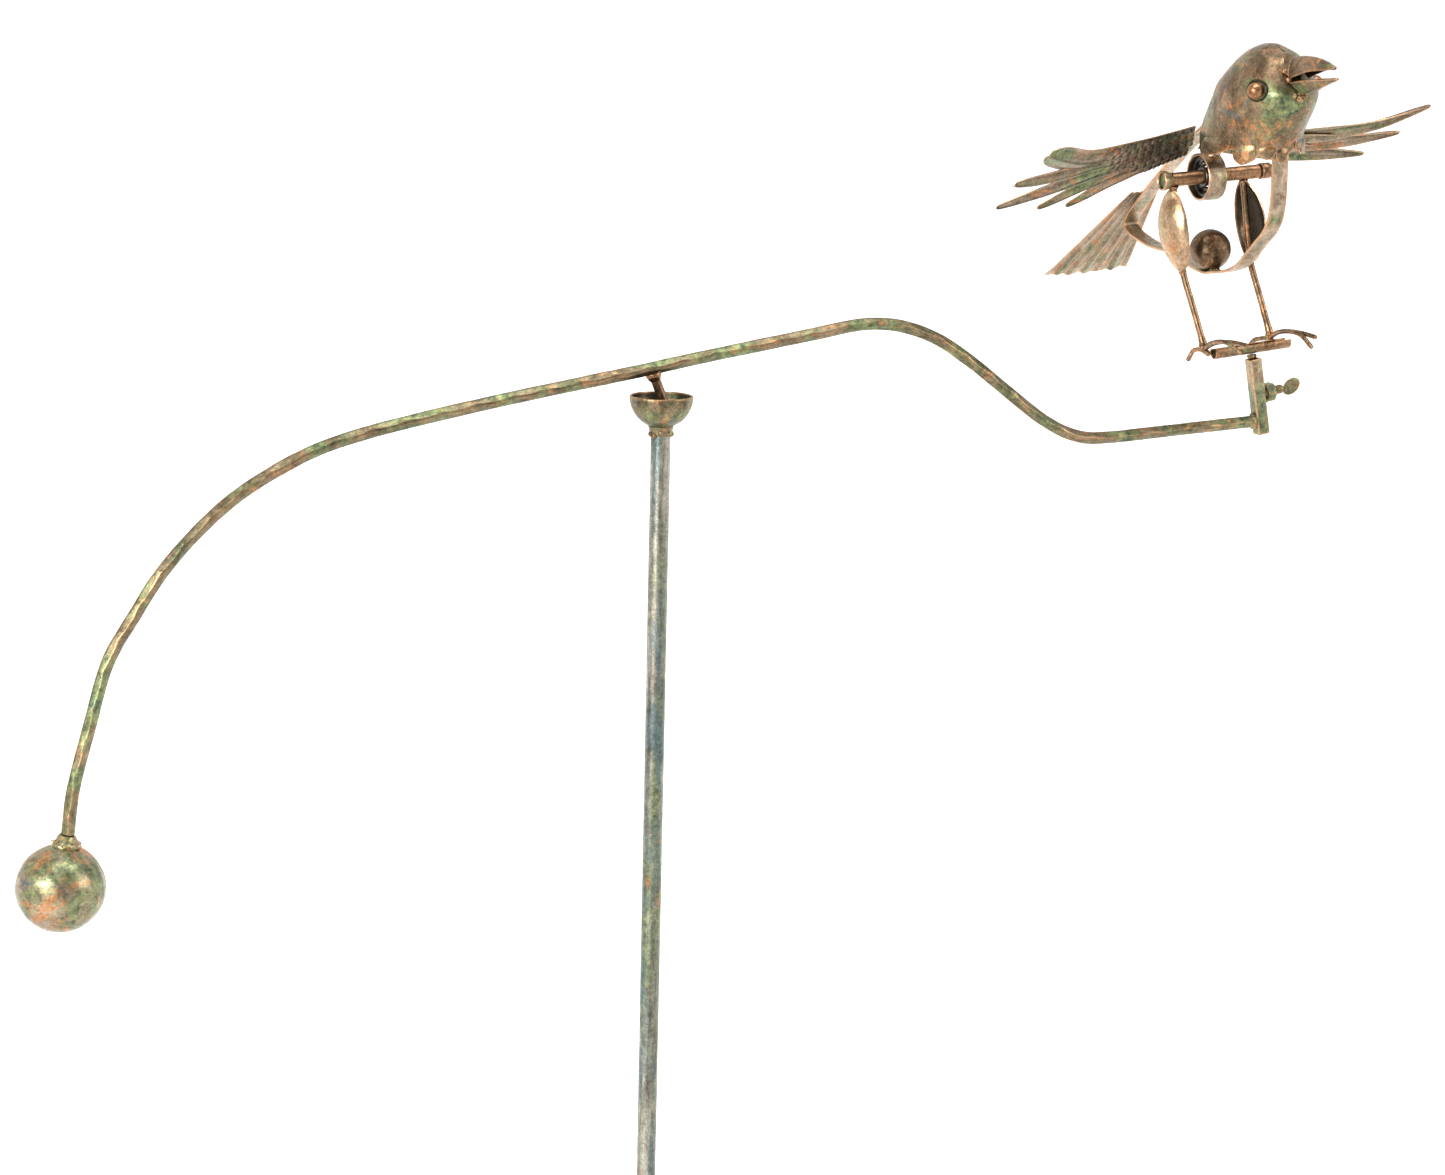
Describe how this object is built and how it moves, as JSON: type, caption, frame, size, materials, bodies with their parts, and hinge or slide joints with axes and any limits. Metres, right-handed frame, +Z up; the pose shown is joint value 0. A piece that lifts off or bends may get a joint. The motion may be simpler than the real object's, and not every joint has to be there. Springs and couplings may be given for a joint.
{
  "type": "whirligig",
  "caption": "Garden balance stake: an arm turns and tips on a needle in a bowl, a rocking sheet-metal bird on one end, a ball on the other.",
  "frame": {"origin": "on the pole's axis at ground level, which is the underside of the step bar", "axes": "+Z up along the pole, +X from the pole towards the bird's end of the arm, -Y the way the bird faces at rest"},
  "size_m": [1.075, 0.3931, 1.6988],
  "materials": {
    "pole": "satin",
    "cup": "satin",
    "arm": "satin",
    "ball": "satin",
    "ballast": "matte",
    "steel": "satin",
    "clamp": "satin",
    "screw": "satin",
    "leg": "satin",
    "thigh": "satin",
    "strap": "satin",
    "weight": "satin",
    "head": "satin",
    "eye": "gloss",
    "beak": "satin",
    "wing": "satin",
    "tail": "satin"
  },
  "bodies": {
    "stake": {"step_bar": "pole", "centre_spike": "pole", "prong_left": "pole", "prong_right": "pole", "lower_pole": "pole", "upper_pole": "pole", "pole_spigot": "steel", "cup_weld": "pole", "pivot_cup": "cup"},
    "pivot": {"pivot_tip": "steel"},
    "arm": {"pivot_pin": "arm", "balance_arm": "arm", "ball_shell_left": "ball", "ball_shell_right": "ball", "ball_ballast": "ballast", "ball_neck": "ball", "clamp_tube": "clamp", "clamp_nut": "clamp"},
    "screw": {"clamp_screw_shank": "screw"},
    "screw_wing": {"clamp_screw_wing": "screw"},
    "post": {"perch_post": "leg"},
    "perch": {"perch_bar": "leg", "shank_left": "leg", "shank_right": "leg", "thigh_left": "thigh", "thigh_right": "thigh", "foot_left": "leg", "foot_right": "leg", "axle_rod": "leg", "axle_cap": "leg", "axle_collar": "leg", "bearing_inner_race": "steel"},
    "cage": {"bearing_cage": "steel"},
    "bird": {"bearing_outer_race": "steel", "bearing_housing": "strap", "body_strap": "strap", "strap_weight": "weight", "head_left": "head", "head_right": "head", "eye_left": "eye", "eye_right": "eye", "beak_upper": "beak", "beak_lower": "beak", "tail": "tail", "wing_left": "wing", "wing_right": "wing"}
  },
  "joints": [
    {"name": "arm_spin", "type": "hinge", "parent": "stake", "child": "pivot", "pos_m": [0.007, 0, 1.2007], "axis": [0, 0, 1], "continuous": true},
    {"name": "arm_tilt", "type": "hinge", "parent": "pivot", "child": "arm", "pos_m": [0.007, 0, 1.2007], "axis": [0, 1, 0], "range_deg": [-8, 52]},
    {"name": "screw_travel", "type": "slide", "parent": "arm", "child": "screw", "axis": [0.9816, 0, 0.1908], "range_m": [0, 0.005]},
    {"name": "screw_turn", "type": "hinge", "parent": "screw", "child": "screw_wing", "pos_m": [0.47772, 0, 1.20655], "axis": [0.9816, 0, 0.1908], "range_deg": [0, 1442]},
    {"name": "post_lift", "type": "slide", "parent": "arm", "child": "post", "axis": [-0.1908, 0, 0.9816], "range_m": [0, 0.045]},
    {"name": "perch_turn", "type": "hinge", "parent": "post", "child": "perch", "pos_m": [0.47102, 0, 1.23581], "axis": [-0.1908, 0, 0.9816], "range_deg": [-225, 60]},
    {"name": "cage_turn", "type": "hinge", "parent": "perch", "child": "cage", "pos_m": [0.4428, 0.025, 1.3689], "axis": [0.9962, 0, 0.0872], "range_deg": [-39, 39]},
    {"name": "bird_rock", "type": "hinge", "parent": "perch", "child": "bird", "pos_m": [0.4428, 0.025, 1.3689], "axis": [0.9962, 0, 0.0872], "range_deg": [-36, 60]}
  ],
  "couplings": [
    {"joint": "screw_turn", "follows": "screw_travel", "rad_per_m": 5026.5},
    {"joint": "cage_turn", "follows": "bird_rock", "ratio": 0.635}
  ]
}
